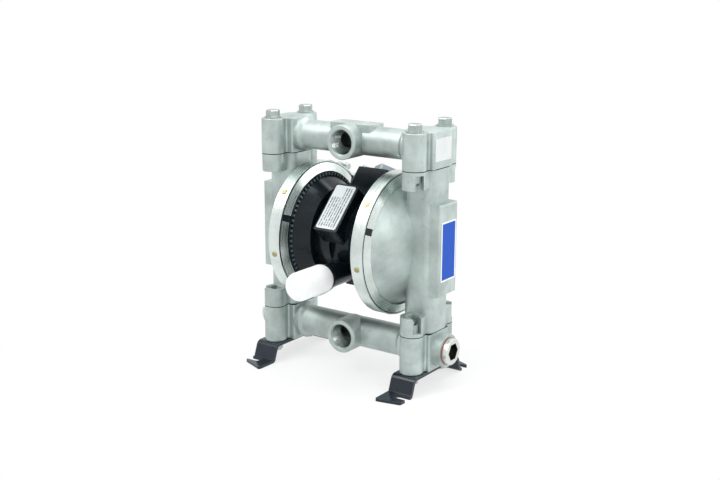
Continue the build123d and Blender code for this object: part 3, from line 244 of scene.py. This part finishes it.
def cast_stainless(name):
    """Bead-blasted stainless casting: peened grain, grey clouds, pits, dark joints, and painted
    shade on the rims under the clamps.
    """
    colour = (0.475, 0.545, 0.525)
    joint_half_height = 0.42 * MM
    clamp_half_width = 60 * MM
    clamp_reach = 9.6 * MM
    finish = Finish(name)
    place = finish.place()
    height = finish.axis(place, "Z")
    clouds = finish.noise(place, 24 * MM, detail=4.0)
    smudges = finish.level(finish.noise(place, 9 * MM, detail=5.0, roughness=0.65), 0.56, 0.72)
    grain = finish.noise(place, 0.9 * MM, detail=2.0)
    pits = finish.level(finish.grains(place, 5.5 * MM), 0.05, 0.10, 1.0, 0.0)
    dark = tuple(0.76 * c for c in colour)
    pale = tuple(1.14 * c for c in colour)
    base = finish.ramp(clouds, (0.30, dark), (0.70, pale))
    base = finish.mix(smudges * 0.45, base, tuple(0.62 * c for c in colour))
    base = finish.mix(pits * 0.3, base, tuple(0.5 * c for c in colour))
    lower_joint = abs(height - lower_seam_z) < joint_half_height
    upper_joint = abs(height - upper_seam_z) < joint_half_height
    joint = lower_joint.math("MAXIMUM", upper_joint)
    # painted shade: the flange rims hidden under the clamps are coloured near black, as if in the
    # clamps' shadow; the same dark colour also marks the two joint lines
    radius = finish.from_shaft(place)
    on_rim = (radius > band_radius - clamp_reach) * (radius < band_radius)
    painted_clamp_shade = on_rim * (abs(finish.axis(place, "X")) < clamp_half_width)
    base = finish.mix(joint.math("MAXIMUM", painted_clamp_shade), base, (0.03, 0.035, 0.035))
    skin = grain * 0.7 + clouds * 0.3
    edges = finish.rounded_edges(0.7 * MM)
    finish.set(
        base_color=base,
        metallic=0.8,
        roughness=finish.level(clouds, 0.3, 0.7, 0.46, 0.56),
        normal=finish.bump(skin, 0.04 * MM, edges),
    )
    return finish


def clamp_stainless(name):
    """Bright rolled stainless strip, faint drawn lines round the band, painted shade where strip
    meets V.
    """
    finish = Finish(name)
    place = finish.place()
    radius = finish.from_shaft(place)
    rolled = finish.add("ShaderNodeCombineXYZ", inputs={0: finish.axis(place, "X"), 1: radius})
    lines = finish.noise(rolled, 0.9 * MM, detail=2.0)
    smears = finish.noise(place, 22 * MM)
    # painted shade: a thin dark line where the band's edge meets the V, standing in for the shadow
    # in the gap between them
    line_width = 0.75 * MM
    painted_strip_shade = (radius > band_radius - line_width) * (radius < band_radius + 0.02 * MM)
    base = finish.ramp(smears, (0.3, (0.56, 0.63, 0.60)), (0.7, (0.76, 0.82, 0.795)))
    finish.set(
        base_color=finish.mix(painted_strip_shade, base, (0.04, 0.05, 0.05)),
        metallic=1.0,
        roughness=finish.level(lines, 0.3, 0.7, 0.22, 0.32),
        normal=finish.bump(lines, 0.0035 * MM, finish.rounded_edges(0.4 * MM)),
    )
    return finish


def black_coat(name, colour, roughness, peel_depth, edge_highlight_share, coat, teeth=False):
    """Black coated metal: slight orange peel, dull dust, and painted highlights that make the edges
    and ring teeth paler.
    """
    finish = Finish(name)
    place = finish.place()
    peel = finish.noise(place, 1.6 * MM, detail=2.0)
    dust = finish.noise(place, 18 * MM, detail=5.0)
    # painted highlight: edges within 0.5 mm are mixed towards a pale blue-grey, standing in for
    # light caught on the edges
    edge_highlight = finish.highlight_edges(0.5 * MM)
    dusty = (1.7 * colour[0] + 0.002, 1.9 * colour[1] + 0.003, 2.0 * colour[2] + 0.004)
    base = finish.ramp(dust, (0.35, colour), (0.75, dusty))
    if teeth:
        # painted highlight: the teeth's faces on the ring are coloured paler, standing in for a
        # glint on each tooth
        on_face = abs(abs(finish.axis(place, "X")) - tooth_face) < 0.35 * MM
        teeth_glint = (finish.from_shaft(place) > tooth_root) * on_face
        base = finish.mix(teeth_glint, base, (0.13, 0.16, 0.17))
    finish.set(
        base_color=finish.mix(edge_highlight * edge_highlight_share, base, (0.10, 0.13, 0.15)),
        metallic=0.0,
        roughness=finish.level(dust, 0.3, 0.7, roughness, roughness + 0.10),
        normal=finish.bump(peel, peel_depth, finish.rounded_edges(0.6 * MM)),
        coat_weight=coat,
        coat_roughness=0.10,
        coat_tint=(0.72, 0.88, 1.0),
        specular_ior_level=0.2,
    )
    return finish


def turned_steel(name, colour=(0.72, 0.72, 0.71), roughness=0.22, socket_face=None):
    """Machined or plated steel: fine tool marks, a crisp sheen, painted shade inside the plugs'
    sockets.
    """
    finish = Finish(name)
    place = finish.place()
    marks = finish.noise(finish.stretched(place, (6.0, 1.0, 1.0)), 2.5 * MM)
    stain = finish.noise(place, 7 * MM)
    base = finish.ramp(stain, (0.3, tuple(0.85 * c for c in colour)), (0.7, colour))
    if socket_face is not None:
        socket_radius = 9.5 * MM
        y = finish.axis(place, "Y")
        z = finish.axis(place, "Z")
        from_run = (y * y + z * z).math("SQRT")
        sunk = abs(finish.axis(place, "X")) < socket_face - 0.3 * MM
        # painted shade: the plugs' sockets are coloured dark olive, standing in for the shade in
        # the recesses
        base = finish.mix((from_run < socket_radius) * sunk, base, (0.13, 0.15, 0.10))
    finish.set(
        base_color=base,
        metallic=1.0,
        roughness=finish.level(marks, 0.3, 0.7, roughness, roughness + 0.12),
        normal=finish.bump(marks, 0.01 * MM, finish.rounded_edges(0.3 * MM)),
    )
    return finish


def moulding(name, colour, roughness):
    """Moulded plastic or rubber with a light grain."""
    finish = Finish(name)
    place = finish.place()
    spots = finish.noise(place, 0.4 * MM, detail=2.0)
    shade = finish.noise(place, 12 * MM)
    finish.set(
        base_color=finish.ramp(shade, (0.3, tuple(0.93 * c for c in colour)), (0.7, colour)),
        roughness=finish.level(spots, 0.3, 0.7, roughness - 0.05, roughness + 0.08),
        normal=finish.bump(spots, 0.02 * MM),
    )
    return finish


def sintered_muffler(name):
    """White sintered muffler: chalky, with fine open pores."""
    finish = Finish(name)
    place = finish.place()
    pores = finish.level(finish.grains(place, 0.9 * MM), 0.12, 0.45)
    shade = finish.noise(place, 9 * MM)
    finish.set(
        base_color=finish.ramp(shade, (0.3, (0.86, 0.865, 0.87)), (0.7, (0.93, 0.93, 0.93))),
        roughness=0.85,
        normal=finish.bump(pores, 0.05 * MM),
    )
    return finish


def ruled_plate(name):
    """Bare metal plate ruled with broken grey lines inside a plain border, with one blank field."""
    finish = Finish(name)
    place = finish.place()
    across = finish.axis(place, "X")
    along = (finish.axis(place, "Y") + finish.axis(place, "Z") - shaft_z) * math.sqrt(0.5)
    ruled_half_length = 23.75 * MM
    ruled_half_width = 10.2 * MM
    line_pitch = 3.0 * MM
    inside = (abs(along) < ruled_half_length) * (abs(across) < ruled_half_width)
    phase = ((across + 1.0) * (1 / line_pitch)).math("FRACT")
    lines = (phase < 0.5) * inside
    dashes = finish.noise(finish.stretched(place, (0.35, 1.0, 1.0)), 1.3 * MM)
    gaps = finish.level(dashes, 0.40, 0.5)
    blank = (along > 12 * MM) * (across < 1 * MM)
    printed = lines * gaps * (1 - blank)
    grey = finish.mix(printed * 0.9, (0.66, 0.70, 0.715), (0.07, 0.085, 0.095))
    finish.set(base_color=grey, metallic=0.0, roughness=0.5)
    return finish


def blue_plate(name, low, high):
    """Blue printed plate with a white border."""
    finish = Finish(name)
    place = finish.place()
    centre = (Vector(low) + Vector(high)) / 2
    half = (Vector(high) - Vector(low)) / 2
    border = 1.5 * MM
    across = abs(finish.axis(place, "Y") - centre.y) < half.y - border
    upright = abs(finish.axis(place, "Z") - centre.z) < half.z - border
    finish.set(
        base_color=finish.mix(across * upright, (0.84, 0.87, 0.90), (0.001, 0.07, 0.46)),
        roughness=0.30,
        normal=finish.bump(finish.noise(place, 3 * MM), 0.008 * MM),
        specular_ior_level=0.2,
    )
    return finish


finishes = {
    "fluid_castings": cast_stainless("Cast stainless"),
    "clamps": clamp_stainless("Clamp strip"),
    "clamp_rivets": turned_steel("Rivet chromate", (0.42, 0.38, 0.20), 0.35),
    "air_section": black_coat(
        "Air section coat",
        (0.003, 0.006, 0.008),
        roughness=0.20,
        peel_depth=0.02 * MM,
        edge_highlight_share=0.5,
        coat=0.15,
        teeth=True,
    ),
    "foot_straps": black_coat(
        "Foot strap coat",
        (0.006, 0.010, 0.014),
        roughness=0.16,
        peel_depth=0.01 * MM,
        edge_highlight_share=0.9,
        coat=0.5,
    ),
    "fasteners": turned_steel("Plated steel", (0.44, 0.50, 0.475), 0.24),
    "end_plugs": turned_steel("Turned steel", (0.74, 0.77, 0.745), 0.26, plug_face),
    "plug_seals": moulding("Plug seal", (0.36, 0.12, 0.10), 0.5),
    "muffler": sintered_muffler("Muffler"),
    "diaphragms": moulding("Diaphragm rubber", (0.02, 0.02, 0.02), 0.6),
    "balls": moulding("Ball", (0.84, 0.84, 0.82), 0.3),
    "o_rings": moulding("O-ring rubber", (0.015, 0.015, 0.015), 0.45),
    "seats": turned_steel("Ball ring steel"),
    "rod": turned_steel("Ground rod", (0.80, 0.80, 0.82), 0.1),
    "diaphragm_plates": turned_steel("Diaphragm plate", (0.62, 0.63, 0.64), 0.3),
    "bushings": moulding("Acetal", (0.78, 0.77, 0.72), 0.4),
    "valve_plate": moulding("Ceramic", (0.85, 0.85, 0.83), 0.15),
    "name_plate": ruled_plate("Ruled plate"),
    "side_plate": blue_plate("Blue plate", *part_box("side_plate")),
    "end_plate": moulding("White label", (0.68, 0.70, 0.70), 0.45),
}
own_finishes = {
    "air_inlet_fitting": turned_steel("Zinc plated fitting", (0.28, 0.33, 0.35), 0.28),
}

for subpart in frame["record"]["subparts"]:
    node = nodes[subpart["node"]]
    node.data.materials.clear()
    finish = own_finishes.get(subpart["node"], finishes[subpart["material_slot"]])
    node.data.materials.append(finish.material)


# ============================================================ pieces
def piece(name, mesh, slot, finish=None):
    """Links a bmesh as a named piece with its slot's finish, or its own."""
    data = bpy.data.meshes.new(name)
    for face in mesh.faces:
        face.smooth = True
    mesh.to_mesh(data)
    mesh.free()
    made = bpy.data.objects.new(name, data)
    bpy.context.scene.collection.objects.link(made)
    data.materials.append((finish or finishes[slot]).material)
    return made


def tapped_thread(place, radius, depth, pitch, turns, steps=48):
    """Helical ridge on the wall of a hole round the Z axis of place, going down -Z."""
    mesh = bmesh.new()
    foot = 0.45 * pitch
    profile = ((radius, foot), (radius - depth, 0.0), (radius, -foot))
    rings = []
    for step in range(turns * steps + 1):
        angle = 2 * math.pi * step / steps
        drop = pitch * step / steps
        ring = []
        for r, lift in profile:
            corner = Vector((r * math.cos(angle), r * math.sin(angle), lift - drop))
            ring.append(mesh.verts.new(place @ corner))
        rings.append(ring)
    for first, second in zip(rings, rings[1:]):
        for side in (0, 1):
            mesh.faces.new((first[side], first[side + 1], second[side + 1], second[side]))
    return mesh


def facing(point, direction):
    """Matrix whose Z axis points along direction from point."""
    turn = Vector(direction).to_track_quat("Z", "Y").to_matrix().to_4x4()
    return Matrix.Translation(Vector(point)) @ turn


# ---- threads of the two ports, from just inside their mouths ----
pipe_pitch = 25.4 / 14 * MM
pipe_thread_depth = 0.75 * MM
pipe_thread_turns = 9
pipe_thread_start = 26.2 * MM
machined_casting = turned_steel("Machined casting", (0.74, 0.80, 0.78), 0.16)
for port in ("inlet_port", "outlet_port"):
    outward = Vector(mounts[port]["axis"])
    place = facing(Vector(mounts[port]["pos_m"]) + pipe_thread_start * outward, outward)
    ridge = tapped_thread(place, port_radius, pipe_thread_depth, pipe_pitch, pipe_thread_turns)
    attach(piece(f"{port}_thread", ridge, "fluid_castings", machined_casting), "pump_body")

# ---- diaphragms: flexible discs, gripped by the plates inside and by the covers outside, built as
# closed sectors whose faces dip in a roll between the rod's plates and the covers ----
diaphragm_thickness = 3.2 * MM
diaphragm_bore = 5.05 * MM
plate_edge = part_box("right_air_plate")[1].z - shaft_z
chamber_edge = 57.0 * MM
rim_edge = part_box("right_diaphragm")[1].z - shaft_z
fluid_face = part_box("right_diaphragm")[1].x
roll_depth = 5.0 * MM
roll_half = (chamber_edge - plate_edge) / 2
roll_radius = (roll_half**2 + roll_depth**2) / (2 * roll_depth)
roll_steps = 14
sectors = 16
sector_steps = 5
sector_angle = 2 * math.pi / sectors


def diaphragm_face():
    """(radius, height over the flat) along the disc's face, from the bore to the rim."""
    points = [(diaphragm_bore, 0.0), (plate_edge, 0.0)]
    for step in range(1, roll_steps):
        across = (2 * step / roll_steps - 1) * roll_half
        height = roll_radius - roll_depth - math.sqrt(roll_radius**2 - across**2)
        points.append((plate_edge + roll_half + across, height))
    return points + [(chamber_edge, 0.0), (rim_edge, 0.0)]


def diaphragm_sector(side, index):
    """One closed slice of a disc, whose two flanks meet its neighbours'."""
    mesh = bmesh.new()
    face = diaphragm_face()
    stations = []
    for step in range(sector_steps + 1):
        angle = (index - 0.5 + step / sector_steps) * sector_angle
        loop = []
        for back, points in ((0.0, face), (diaphragm_thickness, face[::-1])):
            for radius, height in points:
                corner = (
                    side * (fluid_face - back + height),
                    radius * math.cos(angle),
                    shaft_z + radius * math.sin(angle),
                )
                loop.append(mesh.verts.new(corner))
        stations.append(loop)
    around = len(stations[0])
    for first, second in zip(stations, stations[1:]):
        for here in range(around):
            there = (here + 1) % around
            mesh.faces.new((first[here], first[there], second[there], second[here]))
    for loop in (stations[0], stations[-1]):
        for here in range(around // 2 - 1):
            corners = (loop[here], loop[here + 1], loop[around - 2 - here], loop[around - 1 - here])
            for edge in mesh.faces.new(corners).edges:
                edge.smooth = False
    bmesh.ops.recalc_face_normals(mesh, faces=mesh.faces[:])
    return mesh


for side, hand in ((1, "right"), (-1, "left")):
    for index in range(sectors):
        angle = index * sector_angle
        outward = Vector((0, math.cos(angle), math.sin(angle)))
        sector = piece(f"{hand}_diaphragm_{index + 1}", diaphragm_sector(side, index), "diaphragms")
        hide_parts(f"{hand}_diaphragm")
        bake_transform(sector)

# ============================================================ camera, lights and backdrop
camera_azimuth = math.radians(35.25)
camera_elevation = math.radians(14.12)
camera_roll = math.radians(0.2)
camera_distance = 1152.7 * MM
camera_target = Vector((0, 0, floor_z + 135.5 * MM))
lens = 55.3
shift_x = 0.0049
shift_y = 0.0025

back = Vector((
    math.sin(camera_azimuth) * math.cos(camera_elevation),
    -math.cos(camera_azimuth) * math.cos(camera_elevation),
    math.sin(camera_elevation),
))
camera = bpy.data.objects.new("camera", bpy.data.cameras.new("camera"))
bpy.context.scene.collection.objects.link(camera)
camera.location = camera_target + back * camera_distance
level_view = (-back).to_track_quat("-Z", "Y").to_matrix().to_4x4()
roll = Matrix.Rotation(camera_roll, 4, "Z")
camera.matrix_world = Matrix.Translation(camera.location) @ level_view @ roll
camera.data.lens = lens
camera.data.shift_x = shift_x
camera.data.shift_y = shift_y
camera.data.clip_start = 0.01
camera.data.clip_end = 50
bpy.context.scene.camera = camera


def softbox(name, place, size, power):
    """Square area lamp that faces the middle of the pump."""
    lamp = bpy.data.lights.new(name, "AREA")
    lamp.shape = "SQUARE"
    lamp.size = size
    lamp.energy = power
    holder = bpy.data.objects.new(name, lamp)
    bpy.context.scene.collection.objects.link(holder)
    holder.location = place
    holder.rotation_euler = (camera_target - Vector(place)).to_track_quat("-Z", "Y").to_euler()


softbox("key_light", (-0.55, -0.85, 1.55), size=1.2, power=19)
softbox("side_light", (1.5, -0.4, 0.9), size=1.0, power=9)
softbox("top_light", (0.1, 0.5, 1.6), size=1.0, power=10)
softbox("rear_light", (1.3, 1.3, 0.5), size=1.0, power=7)


class Studio(Finish):
    """The world's nodes, written like a finish: soft light all round, plain white where seen."""

    output_node = "World Output"

    def __init__(self, world):
        world.use_nodes = True
        self.tree = world.node_tree
        self.shader = self.tree.nodes["Background"]


world = bpy.data.worlds.new("studio")
bpy.context.scene.world = world
studio = Studio(world)
direction = studio.add("ShaderNodeTexCoord", output="Generated")
height = studio.axis(direction, "Z")
glow = studio.ramp(
    height * 0.5 + 0.5,
    (0.40, (1.0, 1.0, 1.0)),
    (0.49, (0.85, 0.86, 0.86)),
    (0.54, (0.10, 0.13, 0.13)),
    (0.66, (0.22, 0.25, 0.25)),
    (0.80, (0.85, 0.86, 0.86)),
    (1.0, (1.0, 1.0, 1.0)),
)
sideways = studio.level(abs(studio.axis(direction, "X")), 0.55, 0.90)
low_down = studio.level(abs(height), 0.25, 0.60, 1.0, 0.0)
glow = studio.mix(sideways * low_down, glow, (0.62, 0.72, 0.76))
studio.set(color=glow, strength=0.75)
plain_white = studio.add("ShaderNodeBackground", inputs={"Color": (1.0, 1.0, 1.0)})
studio.end_in(studio.seen_directly(), plain_white)

# the floor keeps the pump's shadow near the feet and turns plain white further out
floor_half_size = 6.0
shadow_near = 0.12
shadow_far = 0.40
floor_mesh = bmesh.new()
bmesh.ops.create_grid(floor_mesh, x_segments=1, y_segments=1, size=floor_half_size)
floor_data = bpy.data.meshes.new("floor")
floor_mesh.to_mesh(floor_data)
floor_mesh.free()
floor = bpy.data.objects.new("floor", floor_data)
bpy.context.scene.collection.objects.link(floor)
floor.location.z = floor_z
floor_finish = Finish("Pale floor")
floor_finish.set(base_color=(0.90, 0.90, 0.90), roughness=0.95)
spot = floor_finish.place()
spot_x = floor_finish.axis(spot, "X")
spot_y = floor_finish.axis(spot, "Y")
from_middle = (spot_x * spot_x + spot_y * spot_y).math("SQRT")
white_share = floor_finish.level(from_middle, shadow_near, shadow_far, 0.70, 1.0)
white = floor_finish.add("ShaderNodeEmission")
floor_finish.end_in(white_share * floor_finish.seen_directly(), white)
floor_data.materials.append(floor_finish.material)

bpy.context.scene.view_settings.view_transform = "Standard"
